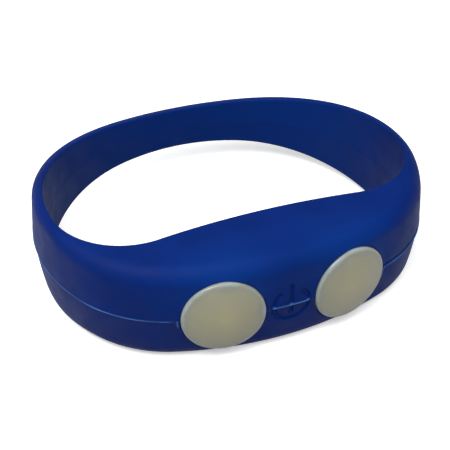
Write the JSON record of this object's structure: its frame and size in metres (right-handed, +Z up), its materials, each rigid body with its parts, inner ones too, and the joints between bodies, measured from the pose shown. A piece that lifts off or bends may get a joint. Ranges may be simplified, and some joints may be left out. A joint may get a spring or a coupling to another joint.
{
  "type": "light-up silicone wristband",
  "caption": "One-piece silicone wristband with a thick front pod holding a light module, round milky lenses and a push button between them.",
  "frame": {"origin": "centre of the ring's bounding box on the surface that its flat lower rim lies on", "axes": "+X to the wearer's right along the pod, -Y out of the front with the lenses, +Z up through the wrist opening"},
  "size_m": [0.0762, 0.0643, 0.0198],
  "materials": {
    "silicone_blue": "satin",
    "lens_milky": "gloss",
    "shell_white": "satin",
    "screw_steel": "satin",
    "board_green": "gloss",
    "led_white": "satin",
    "component_black": "matte",
    "component_tan": "matte",
    "cell_steel": "satin",
    "contact_nickel": "satin"
  },
  "bodies": {
    "wristband": {"silicone_band": "silicone_blue", "light_lens_left": "lens_milky", "light_lens_right": "lens_milky", "front_shell": "shell_white", "back_shell": "shell_white", "battery_door": "shell_white", "door_screws": "screw_steel", "board_screws": "screw_steel", "circuit_board": "board_green", "led_left": "led_white", "led_right": "led_white", "switch_base": "component_black", "switch_cover": "contact_nickel", "controller_chip": "component_black", "chip_resistors": "component_black", "chip_capacitor": "component_tan", "coin_cell_left": "cell_steel", "coin_cell_right": "cell_steel", "cell_contact_left": "contact_nickel", "cell_contact_right": "contact_nickel", "cell_bridge_strip": "contact_nickel"},
    "button": {"press_pad": "silicone_blue", "button_plunger": "shell_white"},
    "switch_stem": {"switch_stem": "component_black"}
  },
  "joints": [
    {"name": "button_press", "type": "slide", "parent": "wristband", "child": "button", "axis": [0, 1, 0], "range_m": [0, 0.0006], "stiffness_N_per_m": 3000},
    {"name": "switch_stem_press", "type": "slide", "parent": "wristband", "child": "switch_stem", "axis": [0, 1, 0], "range_m": [0, 0.0003]}
  ],
  "couplings": [
    {"joint": "switch_stem_press", "follows": "button_press", "ratio": 0.5}
  ]
}
